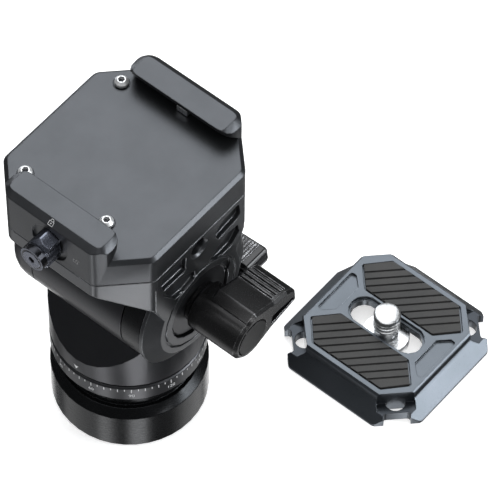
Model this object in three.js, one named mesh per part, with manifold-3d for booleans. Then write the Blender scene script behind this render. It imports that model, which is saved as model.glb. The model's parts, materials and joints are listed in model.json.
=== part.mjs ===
// Fluid video head with a four-sided quick-release plate laid beside it.
// Millimetres. +Z up along the pan axis, +X along the tilt axis towards the tilt lock,
// +Y to the back. The origin is the centre of the plate seat on top of the platform.

import * as THREE from 'three';
import { mergeVertices } from 'three/addons/utils/BufferGeometryUtils.js';
import Module from 'manifold-3d';

const wasm = await Module();
wasm.setup();

// Common clearances.
const gap = 0.3; // air left between pieces that touch
const overrun = 1.0; // how far every cut runs past its face
const roundFacets = 40; // facets of the large turned surfaces
const midFacets = 20;
const smallFacets = 14;
const wireFacets = 5;
const coilSteps = 12;
const fineCoilSteps = 10;
const hexFacets = 6;
const cornerSteps = 4;
const halfShare = 0.5;
const quarterTurn = Math.PI / (1 + 1);
const fullTurn = Math.PI + Math.PI;
const quarterDegrees = 90;
const eighthDegrees = 45;

// Platform.
const platformHalfX = 21.4;
const plateFoot = 41.0; // side of the quick-release plate at its foot, 38 at half height
const railThick = 4.1; // plate foot to the front face, room for the jaw
const platformHalfY = plateFoot * halfShare + railThick;
const platformCornerCut = 9.4; // leg of the corner flats
const platformCornerSum = platformHalfX + platformHalfY - platformCornerCut;
const platformCornerRound = 3.0;
const platformBevel = 0.9;
const seamDepth = 7.8; // seat down to the parting line
const saddleThick = 4.25;
const seatZ = 0;

// Rails of the clamp.
const footHeight = 0.6;
const railHeight = 4.8;
const railEndDrop = 6.9; // platform end to the end of a rail
const railHalfLength = platformHalfX - railEndDrop;
const railBevelWide = 1.6;
const railBevelHigh = 1.3;
const railEndRound = 3.3;
const lipDepth = 0.9; // rail top down to the edge of the lip
const undercutClear = 0.2; // plate foot to the fixed undercut

// Sliding jaw.
const jawTravel = 1.0;
const jawEndDrop = 3.5; // rail end to the end of the jaw
const jawHalfLength = railHalfLength - jawEndDrop;
const jawEndPlay = 0.5;
const grooveHalfLength = jawHalfLength + jawEndPlay; // pocket of the sliding jaw
const jawBarThick = 1.2; // at the foot of the dovetail
const jawTailHalf = 2.9;
const jawTailDrop = 5.4;
const jawTailThick = 1.5;
const jawSlotHalf = 3.4;

// Clamp lever.
const leverZ = -2.6;
const leverRecessRadius = 4.95;
const leverRecessDeep = 0.6;
const leverTip = 4.75;
const leverTipRound = 1.3;
const leverHubRadius = 3.15;
const leverWingDeep = 4.0; // in front of the platform face
const leverHubDeep = 5.7;
const leverSlope = 1.2;
const leverToothDeep = 0.45;
const leverToothCount = 4;
const leverCapRadius = 2.35;
const leverCapThick = 0.7;
const leverCapProud = 0.12;
const leverSocket = 0.85;
const camShaftRadius = 1.4;
const camJournal = 0.9;
const camDiscRadius = 2.2;
const camDiscThick = 1.4;
const leverSpringRadius = 1.45;
const leverSpringWire = 0.22;
const leverSpringLong = 3.0;
const leverSpringTurns = 4;

// Release trigger in the back rail.
const triggerX = 0.9;
const triggerHalf = 1.5;
const triggerHigh = 1.7;
const triggerNose = 0.9; // how far it stands into the dovetail
const triggerLong = 1.6;
const triggerTravel = 2.4;
const triggerPegRadius = 0.5;
const triggerSpringRadius = 0.85;
const triggerSpringWire = 0.16;
const triggerSpringTurns = 2;
const railWall = 0.9;

// Button-head screws.
const screwLeftEdge = 6.8; // screw centres in from the platform's ends and the plate's foot
const screwRightEdge = 14.1;
const screwBackEdge = 4.4;
const screwFrontEdge = 4.9;
const screwLeftX = screwLeftEdge - platformHalfX;
const screwRightX = platformHalfX - screwRightEdge;
const screwBackY = plateFoot * halfShare - screwBackEdge;
const screwFrontY = screwFrontEdge - plateFoot * halfShare;
const screwStep = 1.3; // the right screw sits further in
const screwPlaces = [[screwLeftX, screwBackY], [screwLeftX, screwFrontY],
  [screwRightX, screwFrontY + screwStep]];
const screwHeadRadius = 1.6;
const screwHeadHigh = 1.3;
const screwShankRadius = 0.95;
const screwShankLong = 8.2;
const screwSocket = 0.8;
const screwSocketDeep = 0.8;
const screwSink = 0.15;

// Tilt axis and barrel.
const tiltDrop = 32.5; // seat down to the tilt axis
const barrelRadius = 17.1;
const cheekThick = 3.1;
const cheekInner = platformHalfX - cheekThick;
const collarWide = 5.6; // cheek to the barrel
const capWide = 7.9;
const capStep = 0.6; // the left cap ends inwards of the platform side
const capOuter = capStep - platformHalfX;
const barrelLeft = capOuter + capWide;
const barrelRight = cheekInner - collarWide;
const barrelLong = barrelRight - barrelLeft;
const barrelBore = 12.4;
const barrelEndWall = 2.5;
const capRound = 4.8;
const capWall = 3.4;
const collarBore = 8.3;
const collarSeat = 12.0;
const collarSeatDeep = 1.5;

// Inside the barrel.
const axleRadius = 4.0;
const axleFlange = 7.8;
const axleFlangeThick = 3.3;
const axleProud = 3.9; // axle end beyond the barrel's left end
const axleEnd = barrelLeft - axleProud;
const stemRadius = 2.0;
const stemReach = 2.4; // how far the tilt lock's screw goes into the axle
const stemClear = 0.3;
const washerThick = 1.0;
const cupShare = 0.3; // of the barrel length
const cupThick = barrelLong * cupShare;
const springRadius = 9.3;
const springWire = 1.0;
const springPitch = 2.13;
const anchorInset = 3.4; // barrel end to the anchor plate
const anchorThick = 1.6;

// Cheek.
const hubWideRadius = 17.4;
const hubFaceRadius = 13.5;
const cheekTopHalf = 14.8;
const cheekShoulderZ = -20.2;
const cheekWaistHalf = 12.1;
const cheekWaistZ = -26.3;
const cheekFootHalf = 13.2;
const webLong = 9.4;
const webStartX = platformHalfX - webLong; // where the underside starts to drop towards the cheek
const webDrop = 7.6; // drop of that slope at the outer face
const hubRecessRadius = 9.6;
const hubRecessDeep = 1.2;
const hubRingRadius = 11.6;
const hubRingWide = 0.5;
const hubRingDeep = 0.4;
const accessoryHoleY = -0.4;
const accessoryHoleZ = -11.5;
const accessoryHoleRadius = 2.3;
const accessoryHoleMouth = 2.9;
const accessoryHoleDeep = 6.0;
const dimpleY = 7.4;
const dimpleZ = -28.4;
const dimpleRadius = 2.8;
const dimpleDeep = 0.6;
const pocketDeep = 1.2;
const pocketRound = 0.7;
const cheekPockets = [
  [[-13.1, -11.8], [-12.8, -9.8], [-5.6, -9.6], [-4.7, -10.6],
    [-5.1, -13.3], [-4.8, -15.1], [-12.4, -14.8]],
  [[-12.5, -16.5], [-10.4, -15.5], [-6.9, -15.9], [-1.9, -18.5],
    [-1.9, -21.6], [-5.4, -22.6], [-8.5, -22.1]],
  [[5.0, -13.3], [5.6, -11.2], [8.0, -9.6], [12.9, -9.5], [13.4, -13.6], [12.4, -14.5], [6.1, -15.4]],
  [[2.6, -20.4], [5.7, -18.1], [9.3, -16.5], [12.6, -16.9], [13.2, -20.0], [10.6, -22.6], [5.9, -22.8]],
];

// Lock knobs.
const knobHub = 5.95;
const knobGap = 0.5; // cheek or boss to the knob
const tiltKnobLong = 14.3;
const panKnobLong = 10.8;
const knobWingStart = 3.1; // the hub stands inwards of the wing
const knobEdge = 0.7;
const knobHubSteps = 16;
const knobNeckRadius = 5.0;
const knobNeckLong = 0.9;
const knobWing = [[-1.2, 6.1], [1.3, 7.05], [7.7, 4.65], [12.3, 3.6],
  [14.4, 2.4], [15.3, 0.6], [15.5, -1.3],
  [15.0, -2.4], [6.9, -3.8], [2.4, -5.4]]; // outline beyond the hub, wing along the first axis
const knobWingRound = 0.8;
const knobGrooveStart = 8.3;
const knobGroovePitch = 1.35;
const knobGrooveRadius = 0.42;
const knobGrooveCount = 4;
const knobSlot = [[6.3, -2.2], [14.4, -1.35], [14.4, -0.1], [7.0, 0.5]];
const knobFlankStart = 7.1;
const knobFlankPitch = 0.85;
const knobFlankRadius = 0.26;
const knobFlankCount = 6;
const inlayRadius = 4.5;
const inlayThick = 0.8;
const inlayProud = 0.15;

// Pan body.
const panRadius = 18.1;
const panBottomZ = -60.5;
const roofSlope = 1.272; // fall of the two flats per unit of depth
const panEdge = 0.4;
const drumCavityRadius = 8.6;
const drumCavityFloorZ = -57.9;
const sleeveRadius = 9.5;
const sleeveEndZ = -71.2;
const spindleRadius = 5.0;
const bossRadius = 6.4;
const bossOuterY = 15.9;
const panLockX = 4.0;
const panLockZ = -50.5;
const panKnobDegrees = 14;
const panKnobTurn = THREE.MathUtils.degToRad(panKnobDegrees);

// Scale ring and base.
const ringGapToBody = 0.8;
const ringHigh = 4.9;
const ringInner = 13.4;
const bearingInner = 13.8;
const bearingOuter = 16.6;
const bearingSink = 1.2;
const neckRadius = 15.5;
const baseRadius = 18.3;
const baseBottomZ = -85.2;
const baseWallTopZ = -73.9;
const shoulderRadius = 16.5;
const shoulderZ = -72.0;
const baseEdge = 0.5;
const baseFloor = 5.0;
const baseCavity = 13.1;
const insertRadius = 8.0;
const insertFlange = 10.4;
const insertFlangeThick = 1.5;
const threadLarge = 4.76;
const threadSmall = 3.0;
const spindleFlange = 12.6;
const spindleFlangeThick = 4.0;
const discThick = 1.0;
const drumRadius = 8.0;
const drumHigh = 6.1;
const nutRadius = 7.4;
const nutHigh = 3.6;
const shoeHalfWide = 3.0;
const shoeHigh = 6.6;
const shoeLong = 4.6;

// Quick-release plate.
const plateX = 38.7;
const plateY = 46.5;
const plateHigh = 6.7;
const plateLean = 3.85; // foot to the top edge
const plateTopHalf = plateFoot * halfShare - plateLean;
const plateTopBevel = 0.5;
const plateTopCut = 6.4; // legs of the corner cuts of the top
const earCut = 7.9; // legs of the corner cuts of the foot
const earRound = 1.6;
const earHigh = 2.8;
const earPocketRound = 0.8;
const earHoleRadius = 2.35;
const earNotchLong = 6.3;
const earNotchDeep = 1.5;
const underInset = 5.1;
const underCut = 8.4;
const underHigh = 1.9;
const slotHalfTravel = 6.4;
const slotRadius = 3.4;
const slotLedgeRadius = 3.9;
const slotLedgeDeep = 1.0;
const slotUnderRadius = 6.5;
const slotUnderHigh = 3.7;
const padMargin = 1.65; // pad to the edge of the top
const padReach = plateTopHalf - padMargin;
const padInnerY = 4.4;
const padSlant = 4.9; // leg of its slanted ends towards the slot
const padOuterSlant = 5.4;
const padOutline = [[-padReach, padReach - padOuterSlant], [padSlant - padReach, padReach],
  [padReach - padSlant, padReach], [padReach, padReach - padOuterSlant],
  [padReach - padSlant, padInnerY], [padSlant - padReach, padInnerY]];
const padClear = 0.15;
const padSink = 0.7;
const padProud = 0.35;
const padRibPitch = 2.0;
const padGroove = 0.5;
const padGrooveDeep = 0.55;
const padGrooveCount = 9;
const endPocket = [[15.5, -6.3], [15.5, 6.3], [14.1, 6.4], [11.6, 4.0], [11.6, -4.0], [14.1, -6.4]];
const endPocketDeep = 0.7;
const plainCorner = 1; // the corner to the back left has no ear
const plainCornerLip = 0.7;

// Camera screw.
const studRadius = 3.17;
const studProud = 4.8;
const studChamfer = 0.8;
const studNeck = 2.6;
const headRadius = 5.6;
const headHigh = 2.1;
const headLift = 0.5;
const coinSlotWide = 1.4;
const coinSlotDeep = 1.0;
const retainerThick = 0.6;

// Colours and surfaces.
const looks = {
  anodised: { color: 0x43464b, roughness: 0.42, metalness: 0.75 },
  dark: { color: 0x2f3135, roughness: 0.45, metalness: 0.65 },
  knob: { color: 0x4a4b4e, roughness: 0.38, metalness: 0.7 },
  plate: { color: 0x565c66, roughness: 0.4, metalness: 0.7 },
  rubber: { color: 0x3a3c3f, roughness: 0.85, metalness: 0.0 },
  steel: { color: 0xc4c6c8, roughness: 0.25, metalness: 1.0 },
  brass: { color: 0xb08d4a, roughness: 0.35, metalness: 1.0 },
  polymer: { color: 0xe4e2da, roughness: 0.6, metalness: 0.0 },
};

// Solids from three.js geometry.
function solid(geometry) {
  geometry.deleteAttribute('normal');
  geometry.deleteAttribute('uv');
  const merged = mergeVertices(geometry);
  const place = merged.getAttribute('position');
  const index = merged.getIndex().array;
  const triangles = [];
  const a = new THREE.Vector3();
  const b = new THREE.Vector3();
  const c = new THREE.Vector3();
  let volume = 0;
  for (let i = 0; i + 2 < index.length; i += 3) {
    const [p, q, r] = [index[i], index[i + 1], index[i + 2]];
    if (p === q || q === r || r === p) continue;
    triangles.push(p, q, r);
    a.fromBufferAttribute(place, p);
    b.fromBufferAttribute(place, q);
    c.fromBufferAttribute(place, r);
    volume += a.dot(b.cross(c));
  }
  if (volume < 0) triangles.reverse();
  return new wasm.Manifold(new wasm.Mesh({
    numProp: 3,
    vertProperties: new Float32Array(place.array),
    triVerts: new Uint32Array(triangles),
  }));
}

function vectors(points) {
  return points.map(([u, v]) => new THREE.Vector2(u, v));
}

// Outline with every corner turned into an arc of the given radius. An open run keeps its ends.
function rounded(points, radius, open = false, steps = cornerSteps) {
  const corners = vectors(points);
  const out = [];
  corners.forEach((corner, i) => {
    if (open && (i === 0 || i === corners.length - 1)) {
      out.push(corner);
      return;
    }
    const before = corners[(i + corners.length - 1) % corners.length];
    const after = corners[(i + 1) % corners.length];
    const back = before.clone().sub(corner);
    const ahead = after.clone().sub(corner);
    const angle = Math.abs(Math.acos(back.dot(ahead) / (back.length() * ahead.length())));
    const reach = Math.min(back.length(), ahead.length()) * halfShare;
    const run = Math.min(radius / Math.tan(angle * halfShare), reach);
    const start = corner.clone().add(back.setLength(run));
    const end = corner.clone().add(ahead.setLength(run));
    const curve = new THREE.QuadraticBezierCurve(start, corner, end);
    out.push(...curve.getPoints(steps));
  });
  return out.map((p) => [p.x, p.y]);
}

function mirrored(points) {
  return points.map(([u, v]) => [-u, v]).reverse();
}

function octagon(halfU, halfV, sum) {
  const flatU = sum - halfV;
  const flatV = sum - halfU;
  return [[halfU, -flatV], [halfU, flatV], [flatU, halfV], [-flatU, halfV],
    [-halfU, flatV], [-halfU, -flatV], [-flatU, -halfV], [flatU, -halfV]];
}

function rectangle(u0, u1, v0, v1) {
  return [[u0, v0], [u1, v0], [u1, v1], [u0, v1]];
}

function circle(radius, u = 0, v = 0, facets = smallFacets) {
  const points = [];
  for (let i = 0; i < facets; i += 1) {
    const angle = (i / facets) * fullTurn;
    points.push([u + radius * Math.cos(angle), v + radius * Math.sin(angle)]);
  }
  return points;
}

function stadium(radius, halfTravel, facets = smallFacets) {
  return circle(radius, 0, 0, facets).map(([u, v]) => [u + Math.sign(u || 1) * halfTravel, v]);
}

function extruded(outline, length, bevel) {
  return new THREE.ExtrudeGeometry(new THREE.Shape(vectors(outline)), {
    depth: length - bevel - bevel,
    bevelEnabled: bevel > 0,
    bevelThickness: bevel,
    bevelSize: bevel,
    bevelOffset: -bevel,
    bevelSegments: 1,
  }).translate(0, 0, bevel);
}

const axisX = new THREE.Vector3(1, 0, 0);
const axisY = new THREE.Vector3(0, 1, 0);
const axisZ = new THREE.Vector3(0, 0, 1);

// Outline in X and Y, between two heights.
function prismZ(outline, z0, z1, bevel = 0) {
  return solid(extruded(outline, z1 - z0, bevel).translate(0, 0, z0));
}

// Outline in Y and Z, between two places along X.
function prismX(outline, x0, x1, bevel = 0) {
  const turn = new THREE.Matrix4().makeBasis(axisY, axisZ, axisX);
  return solid(extruded(outline, x1 - x0, bevel).applyMatrix4(turn).translate(x0, 0, 0));
}

// Outline in X and Z, between two places along Y.
function prismY(outline, y0, y1, bevel = 0) {
  const turn = new THREE.Matrix4().makeBasis(axisX, axisZ, axisY.clone().negate());
  return solid(extruded(outline, y1 - y0, bevel).applyMatrix4(turn).translate(0, y1, 0));
}

function block(x0, x1, y0, y1, z0, z1) {
  const geometry = new THREE.BoxGeometry(x1 - x0, y1 - y0, z1 - z0);
  return solid(geometry.translate(
    (x0 + x1) * halfShare, (y0 + y1) * halfShare, (z0 + z1) * halfShare));
}

// Turned profile of [radius, height] points about Z.
function turnedZ(profile, facets = roundFacets) {
  return solid(new THREE.LatheGeometry(vectors(profile), facets).rotateX(quarterTurn));
}

function tubeProfile(inner, outer, low, high) {
  return [[inner, low], [outer, low], [outer, high], [inner, high], [inner, low]];
}

function rodProfile(radius, low, high) {
  return [[0, low], [radius, low], [radius, high], [0, high]];
}

// Turned profile about the line along X through the tilt axis.
function turnedTilt(profile, facets = roundFacets) {
  const geometry = new THREE.LatheGeometry(vectors(profile), facets).rotateZ(-quarterTurn);
  return solid(geometry.translate(0, 0, -tiltDrop));
}

// Turned profile about a line along Y at the given X and Z.
function turnedY(profile, x, z, facets = smallFacets) {
  return solid(new THREE.LatheGeometry(vectors(profile), facets).translate(x, 0, z));
}

// Turned profile about a line along X at the given Y and Z.
function turnedX(profile, y, z, facets = smallFacets) {
  const geometry = new THREE.LatheGeometry(vectors(profile), facets).rotateZ(-quarterTurn);
  return solid(geometry.translate(0, y, z));
}

class Coil extends THREE.Curve {
  constructor(radius, length, turns) {
    super();
    Object.assign(this, { radius, length, turns });
  }

  getPoint(t, target = new THREE.Vector3()) {
    const angle = t * this.turns * fullTurn;
    return target.set(
      this.radius * Math.cos(angle), this.radius * Math.sin(angle), t * this.length);
  }
}

// Round wire wound about Z from zero height up to the given length.
function coiled(radius, wire, length, turns, stepsPerTurn = coilSteps) {
  const path = new Coil(radius, length - wire - wire, turns);
  return new THREE.ExtrudeGeometry(new THREE.Shape(vectors(circle(wire, 0, 0, wireFacets))), {
    steps: Math.round(turns * stepsPerTurn),
    extrudePath: path,
  }).translate(0, 0, wire);
}

const head = new THREE.Group();

function piece(name, body, look) {
  const mesh = body.getMesh();
  const geometry = new THREE.BufferGeometry();
  geometry.setAttribute('position', new THREE.BufferAttribute(mesh.vertProperties, 3));
  geometry.setIndex(new THREE.BufferAttribute(mesh.triVerts, 1));
  geometry.computeVertexNormals();
  const part = new THREE.Mesh(geometry, new THREE.MeshStandardMaterial(looks[look]));
  part.name = name;
  head.add(part);
  return part;
}

function lifted(points, rise) {
  return points.map(([u, v]) => [u, v + rise]);
}

// Values that follow from the sizes above.
const seamZ = seatZ - seamDepth;
const saddleTopZ = seamZ - gap;
const saddleBottomZ = saddleTopZ - saddleThick + gap;
const tiltZ = -tiltDrop;
const footHalf = plateFoot * halfShare;
const lipZ = railHeight - lipDepth;
const lipHalf = footHalf - (lipZ - footHeight); // 45 degree dovetail flank
const undercutHalf = footHalf + undercutClear;
const undercutFootZ = lipZ - (undercutHalf - lipHalf);
const frontFace = -platformHalfY;
const leverFloorY = frontFace + leverRecessDeep;
const jawClosedY = -undercutHalf - undercutClear;
const jawOuterY = jawClosedY - jawBarThick;
const jawPocketY = jawOuterY - jawTravel - gap;
const jawTopZ = lipZ - gap;
const camDiscOuterY = jawOuterY + jawTailThick + gap;
const camDiscInnerY = camDiscOuterY + camDiscThick;
const jawSlotInnerY = camDiscInnerY + gap;
const leverSpringEndY = jawSlotInnerY + leverSpringLong;
const washerX0 = cheekInner - gap - washerThick - gap;
const collarLeft = barrelRight + gap;
const collarRight = cheekInner - gap;
const collarSeatX = collarRight - collarSeatDeep;
const hubRecessX = platformHalfX - hubRecessDeep;
const ringTopZ = panBottomZ - ringGapToBody;
const ringBottomZ = ringTopZ - ringHigh;
const neckTopZ = ringBottomZ - gap;
const floorTopZ = baseBottomZ + baseFloor;
const insertTopZ = floorTopZ + gap + insertFlangeThick;
const spindleFlangeZ = insertTopZ + gap;
const spindleFlangeTopZ = spindleFlangeZ + spindleFlangeThick;

const outline = rounded(octagon(platformHalfX, platformHalfY, platformCornerSum), platformCornerRound);

// Base and pan side.
const baseShell = turnedZ([
  [insertRadius + gap, baseBottomZ], [baseRadius - baseEdge, baseBottomZ],
  [baseRadius, baseBottomZ + baseEdge], [baseRadius, baseWallTopZ], [shoulderRadius, shoulderZ],
  [neckRadius, shoulderZ], [neckRadius, neckTopZ], [baseCavity, neckTopZ],
  [baseCavity, floorTopZ], [insertRadius + gap, floorTopZ], [insertRadius + gap, baseBottomZ]]);
piece('base_shell', baseShell, 'anodised');

piece('thread_insert', turnedZ([
  [threadLarge, baseBottomZ + gap], [insertRadius, baseBottomZ + gap],
  [insertRadius, floorTopZ + gap], [insertFlange, floorTopZ + gap],
  [insertFlange, insertTopZ], [threadLarge, insertTopZ], [threadLarge, baseBottomZ + gap]],
midFacets), 'steel');

piece('adapter_bush', turnedZ(
  tubeProfile(threadSmall, threadLarge - gap, baseBottomZ + gap + gap, insertTopZ - gap),
  smallFacets), 'brass');

const nutZ = drumCavityFloorZ + gap + drumHigh + gap;
piece('pan_spindle', turnedZ([
  [0, spindleFlangeZ], [spindleFlange, spindleFlangeZ], [spindleFlange, spindleFlangeTopZ],
  [spindleRadius, spindleFlangeTopZ], [spindleRadius, nutZ + nutHigh + gap],
  [0, nutZ + nutHigh + gap]], midFacets), 'steel');

const fixedDiscZ = spindleFlangeTopZ + gap;
piece('pan_drag_disc_fixed', turnedZ(
  tubeProfile(spindleRadius + gap, spindleFlange, fixedDiscZ, fixedDiscZ + discThick),
  midFacets), 'brass');

piece('scale_ring', turnedZ([
  [ringInner, ringBottomZ], [panRadius - panEdge, ringBottomZ], [panRadius, ringBottomZ + panEdge],
  [panRadius, ringTopZ - panEdge], [panRadius - panEdge, ringTopZ], [ringInner, ringTopZ],
  [ringInner, ringBottomZ]]), 'anodised');

const drumZ = drumCavityFloorZ + gap;
piece('pan_brake_drum', turnedZ(
  tubeProfile(spindleRadius + gap, drumRadius, drumZ, drumZ + drumHigh), midFacets), 'steel');

piece('pan_nut', turnedZ(rodProfile(nutRadius, nutZ, nutZ + nutHigh), hexFacets)
  .subtract(turnedZ(rodProfile(spindleRadius + gap, nutZ - overrun, nutZ + nutHigh + overrun), midFacets)),
'steel');

// Pan body.
const turningDiscTop = sleeveEndZ - gap;
const roofHalf = panRadius + overrun;
const roofOutline = [[-roofHalf, panBottomZ], [roofHalf, panBottomZ],
  [roofHalf, tiltZ - roofHalf * roofSlope], [0, tiltZ], [-roofHalf, tiltZ - roofHalf * roofSlope]];
const panDrum = turnedZ([
  [0, panBottomZ], [panRadius - panEdge, panBottomZ], [panRadius, panBottomZ + panEdge],
  [panRadius, tiltZ + overrun], [0, tiltZ + overrun]]);
const barrel = turnedTilt(rodProfile(barrelRadius, barrelLeft, barrelRight));
const endClear = barrelRadius + gap;
const shoeY = drumRadius + gap;
const shoeBackY = shoeY + shoeLong;
const shoeBottomZ = panLockZ - shoeHigh * halfShare - gap;
const shoeTopZ = panLockZ + shoeHigh * halfShare - gap;
let panBody = panDrum.intersect(prismX(roofOutline, -roofHalf, roofHalf));
panBody = panBody.add(turnedY(rodProfile(bossRadius, 0, bossOuterY), panLockX, panLockZ, midFacets));
panBody = panBody.subtract(turnedTilt(rodProfile(endClear, -roofHalf - overrun, barrelLeft)));
panBody = panBody.subtract(turnedTilt(rodProfile(endClear, barrelRight, roofHalf + overrun)));
panBody = panBody.add(barrel);
panBody = panBody.add(turnedZ(rodProfile(sleeveRadius, sleeveEndZ, panBottomZ + overrun), midFacets));
panBody = panBody.subtract(turnedTilt(
  rodProfile(barrelBore, barrelLeft - overrun, barrelRight - barrelEndWall)));
panBody = panBody.subtract(turnedTilt(
  rodProfile(axleRadius + gap, barrelRight - barrelEndWall - overrun, barrelRight + overrun), midFacets));
panBody = panBody.subtract(turnedZ(rodProfile(drumCavityRadius, drumCavityFloorZ, tiltZ), midFacets));
panBody = panBody.subtract(turnedZ(
  rodProfile(spindleRadius + gap, sleeveEndZ - overrun, drumCavityFloorZ + overrun), midFacets));
panBody = panBody.subtract(turnedZ(tubeProfile(
  bearingInner - gap, bearingOuter + gap, panBottomZ - overrun, panBottomZ + bearingSink)));
panBody = panBody.subtract(block(
  panLockX - shoeHalfWide - gap, panLockX + shoeHalfWide + gap, 0, shoeBackY + gap,
  Math.max(shoeBottomZ - gap, drumCavityFloorZ), shoeTopZ + gap));
panBody = panBody.subtract(turnedY(
  rodProfile(stemRadius + stemClear, shoeBackY, bossOuterY + overrun), panLockX, panLockZ));
panBody = panBody.subtract(turnedY(
  rodProfile(knobHub + gap + gap, bossOuterY, roofHalf), panLockX, panLockZ, midFacets));
panBody = panBody.subtract(turnedY(rodProfile(
  knobNeckRadius + gap, bossOuterY + knobGap - knobNeckLong - gap, roofHalf),
panLockX, panLockZ, midFacets));
piece('pan_body', panBody, 'anodised');

piece('pan_bearing_washer', turnedZ(tubeProfile(
  bearingInner, bearingOuter, ringTopZ + gap, panBottomZ + bearingSink - gap)), 'polymer');

piece('pan_drag_disc_turning', turnedZ(tubeProfile(
  spindleRadius + gap, spindleFlange, turningDiscTop - discThick, turningDiscTop),
midFacets), 'brass');

const capSteps = 5;
const capProfile = [[0, capOuter]];
for (let i = 0; i <= capSteps; i += 1) {
  const angle = (i / capSteps) * quarterTurn;
  capProfile.push([barrelRadius - capRound + capRound * Math.sin(angle),
    capOuter + capRound - capRound * Math.cos(angle)]);
}
const capInner = barrelRadius - capWall;
capProfile.push([barrelRadius, barrelLeft - gap], [capInner, barrelLeft - gap],
  [capInner, capOuter + capWall], [0, capOuter + capWall]);
piece('barrel_cap_left', turnedTilt(capProfile), 'anodised');

piece('barrel_collar_right', turnedTilt([
  [collarBore, collarLeft], [barrelRadius, collarLeft], [barrelRadius, collarRight],
  [collarSeat, collarRight], [collarSeat, collarSeatX], [collarBore, collarSeatX],
  [collarBore, collarLeft]]), 'anodised');

const cupX1 = barrelRight - barrelEndWall - gap;
const cupX0 = cupX1 - cupThick;
piece('tilt_damping_cup', turnedTilt(
  tubeProfile(axleRadius + gap, barrelBore - gap, cupX0, cupX1), midFacets), 'polymer');

const springX1 = cupX0 - gap;
const anchorX0 = barrelLeft + anchorInset;
const springX0 = anchorX0 + anchorThick + gap;
const springLong = springX1 - springX0;
const coilGeometry = coiled(springRadius, springWire, springLong, springLong / springPitch);
piece('counterbalance_spring', solid(
  coilGeometry.rotateY(quarterTurn).translate(springX0, 0, tiltZ)), 'steel');

const shoe = block(panLockX - shoeHalfWide, panLockX + shoeHalfWide, 0, shoeBackY,
  Math.max(shoeBottomZ, drumCavityFloorZ + gap), shoeTopZ);
piece('pan_brake_shoe', shoe.subtract(turnedZ(
  rodProfile(shoeY, baseBottomZ, tiltZ), midFacets)), 'brass');

// Lock knobs.
// Comma outline: round hub at zero with the wing along the first axis.
function knobOutline() {
  const wing = rounded(knobWing, knobWingRound, true);
  const hub = [];
  const from = Math.atan2(-knobHub, knobHub * halfShare * halfShare);
  const inner = knobHub * Math.cos(quarterTurn / knobHubSteps); // inside the facets of the turned hub
  for (let i = 0; i <= knobHubSteps; i += 1) {
    const angle = from - 2 * quarterTurn * (i / knobHubSteps);
    hub.push([inner * Math.cos(angle), inner * Math.sin(angle)]);
  }
  return [...wing, ...hub];
}

// Height of a flank of the wing at a distance from the hub.
function flankHeight(along, points) {
  for (let i = 0; i + 1 < points.length; i += 1) {
    const [u0, v0] = points[i];
    const [u1, v1] = points[i + 1];
    if (along >= Math.min(u0, u1) && along <= Math.max(u0, u1)) {
      return v0 + (v1 - v0) * (along - u0) / (u1 - u0);
    }
  }
  return points[0][1];
}

// Lock knob with its axis along X and the wing along Y: knob, end inlay and screw stem.
function lockKnob(length, stemBack) {
  const upper = knobWing.filter(([, v]) => v > 0);
  const lower = knobWing.filter(([, v]) => v < 0);
  const grooveEnd = length - knobEdge - knobEdge;
  const stemEnd = length * halfShare;
  let knob = prismX(knobOutline(), knobWingStart, length, knobEdge);
  knob = knob.add(turnedX([[0, -knobNeckLong], [knobNeckRadius, -knobNeckLong], [knobNeckRadius, 0],
    [knobHub - knobEdge, 0], [knobHub, knobEdge], [knobHub, length - knobEdge],
    [0, length - knobEdge]], 0, 0, 2 * knobHubSteps));
  for (let i = 0; i < knobGrooveCount; i += 1) {
    const along = knobGrooveStart + i * knobGroovePitch;
    knob = knob.subtract(turnedX(rodProfile(knobGrooveRadius, 0, grooveEnd),
      along, flankHeight(along, upper), hexFacets));
  }
  for (let i = 0; i < knobFlankCount; i += 1) {
    const along = knobFlankStart + i * knobFlankPitch;
    knob = knob.subtract(turnedX(rodProfile(knobFlankRadius, 0, grooveEnd),
      along, flankHeight(along, lower), hexFacets));
  }
  knob = knob.subtract(prismX(rounded(knobSlot, halfShare), 0, length + overrun));
  knob = knob.subtract(turnedX(
    rodProfile(inlayRadius + gap, length - inlayThick, length + overrun), 0, 0, midFacets));
  knob = knob.subtract(turnedX(
    rodProfile(stemRadius + gap, -knobNeckLong - overrun, stemEnd + gap), 0, 0));
  const inlay = turnedX(
    rodProfile(inlayRadius, length - inlayThick + gap, length + inlayProud), 0, 0, midFacets);
  const stem = turnedX(rodProfile(stemRadius, -stemBack, stemEnd), 0, 0);
  return { knob, inlay, stem };
}

function placeKnob(name, parts, matrix) {
  const placed = (body) => body.transform(matrix.elements);
  piece(`${name}_knob`, placed(parts.knob), 'knob');
  piece(`${name}_inlay`, placed(parts.inlay), 'dark');
  piece(`${name}_stem`, placed(parts.stem), 'steel');
}

const tiltKnobX0 = platformHalfX + knobGap;
const tiltStemStart = cheekInner - stemReach;
placeKnob('tilt_lock', lockKnob(tiltKnobLong, tiltKnobX0 - tiltStemStart),
  new THREE.Matrix4().makeTranslation(tiltKnobX0, 0, tiltZ));

// The pan knob is turned over, so that the flat flank of its wing faces the platform.
const panKnobY0 = bossOuterY + knobGap;
const wingWay = new THREE.Vector3(Math.cos(panKnobTurn), 0, Math.sin(panKnobTurn));
const panKnobPlace = new THREE.Matrix4().makeBasis(
  axisY, wingWay, axisY.clone().cross(wingWay)).setPosition(panLockX, panKnobY0, panLockZ);
placeKnob('pan_lock', lockKnob(panKnobLong, panKnobY0 - shoeBackY - gap), panKnobPlace);

// Tilt head.
piece('tilt_axle', turnedTilt([
  [0, axleEnd], [axleRadius, axleEnd], [axleRadius, collarLeft + gap], [axleFlange, collarLeft + gap],
  [axleFlange, collarLeft + gap + axleFlangeThick - gap], [axleRadius, collarLeft + axleFlangeThick],
  [axleRadius, cheekInner - gap], [stemRadius + stemClear, cheekInner - gap],
  [stemRadius + stemClear, tiltStemStart - gap], [0, tiltStemStart - gap]], midFacets), 'steel');

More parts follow.
